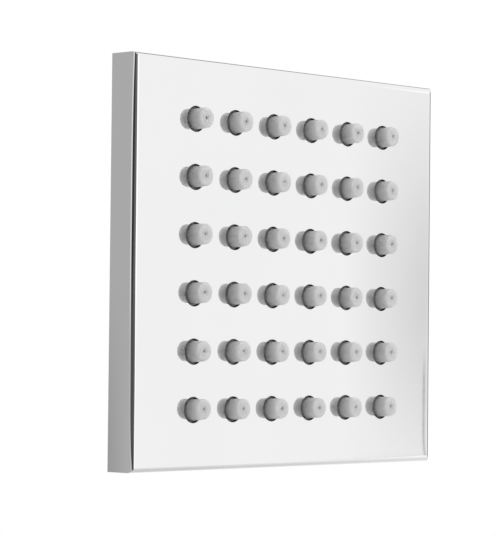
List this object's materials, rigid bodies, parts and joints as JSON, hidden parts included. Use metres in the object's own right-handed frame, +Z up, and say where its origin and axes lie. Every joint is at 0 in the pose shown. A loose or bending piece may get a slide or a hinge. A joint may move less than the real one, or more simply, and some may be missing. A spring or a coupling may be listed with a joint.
{
  "type": "wall shower head",
  "caption": "Flush wall shower head: a shallow chrome pan with rounded edges and a grid of soft nozzles, with a water chamber, wall bracket and threaded inlet behind.",
  "frame": {"origin": "axis of the threaded inlet on the wall plane, which is the bracket's back face", "axes": "+Z up the wall, -Y out of the wall along the spray, +X to the right as seen from the room"},
  "size_m": [0.112, 0.0317, 0.0998],
  "materials": {
    "chrome_plate": "polished chrome plating on brass",
    "silicone": "matt moulded silicone",
    "pale_plastic": "moulded",
    "grey_plastic": "fine moulded texture",
    "black_rubber": "matt",
    "steel": "rolled sheet",
    "brass": "turned"
  },
  "bodies": {
    "root": {"front_shell": "chrome_plate", "nozzle_mat": "silicone", "jet_plate": "pale_plastic", "chamber_seal": "black_rubber", "chamber_cover": "grey_plastic", "cover_screws": "steel", "flow_regulator": "pale_plastic", "regulator_ring": "black_rubber", "tube_rings": "black_rubber", "inlet_nipple": "brass", "inlet_strainer": "pale_plastic", "wall_bracket": "steel", "set_screw": "steel", "wall_seal": "black_rubber"}
  },
  "joints": []
}
